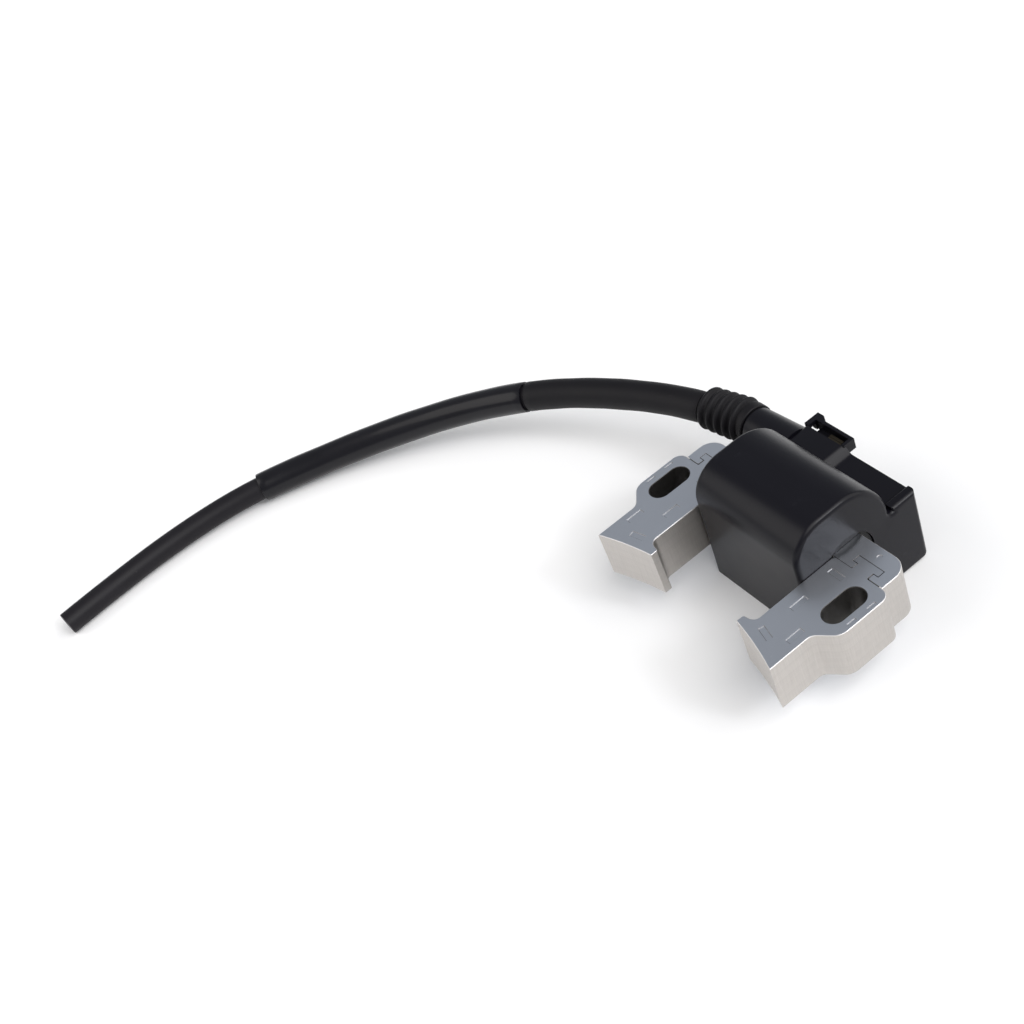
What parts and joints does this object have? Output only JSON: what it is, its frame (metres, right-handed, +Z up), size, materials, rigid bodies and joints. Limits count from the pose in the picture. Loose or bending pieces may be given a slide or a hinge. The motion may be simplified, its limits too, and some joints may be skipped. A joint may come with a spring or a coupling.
{
  "type": "ignition coil",
  "caption": "Potted ignition coil on a U-shaped laminated core with slotted ears, module box, tab connector shroud and a sleeved high-tension lead from a ribbed boot.",
  "frame": {"origin": "centre of the coil's footprint, without its lead and boot, on the case's flat base", "axes": "+X along the core bar, away from the lead's side; +Y from the pole tips to the module box; +Z up along the mounting bolts, from the open base of the case to its closed top"},
  "size_m": [0.2158, 0.1953, 0.0395],
  "materials": {
    "core_steel": "satin electrical steel, stamped",
    "bar_steel": "satin electrical steel, stamped",
    "case_plastic": "black moulded nylon, semi-gloss",
    "resin": "black potting resin",
    "bobbin_plastic": "black nylon",
    "enamelled_wire": "red-brown enamelled copper",
    "fine_wire": "fine enamelled copper",
    "tape": "amber film tape",
    "board": "green glass-epoxy",
    "device_plastic": "black epoxy",
    "capacitor_film": "dipped film capacitor",
    "resistor_body": "tan lacquer",
    "terminal_brass": "tinned brass",
    "boot_rubber": "black rubber, matte",
    "lead_rubber": "black silicone rubber, matte",
    "conductor_core": "carbon-filled suppression core",
    "sleeve_vinyl": "black vinyl tubing, glossy"
  },
  "bodies": {
    "root": {"left_leg": "core_steel", "right_leg": "core_steel", "core_bar": "bar_steel", "coil_case": "case_plastic", "potting_resin": "resin", "primary_bobbin": "bobbin_plastic", "primary_winding": "enamelled_wire", "primary_tape": "tape", "secondary_bobbin": "bobbin_plastic", "secondary_winding": "fine_wire", "circuit_board": "board", "power_transistor": "device_plastic", "drive_transistor": "device_plastic", "storage_capacitor": "capacitor_film", "resistors": "resistor_body", "clamp_diode": "device_plastic", "stop_terminal": "terminal_brass", "ground_strap": "terminal_brass", "hookup_wires": "enamelled_wire", "high_voltage_pin": "terminal_brass", "high_voltage_link": "enamelled_wire", "strain_relief_boot": "boot_rubber", "lead_insulation": "lead_rubber", "lead_conductor": "conductor_core", "rubber_sleeve": "boot_rubber", "vinyl_sleeve": "sleeve_vinyl"}
  },
  "joints": []
}
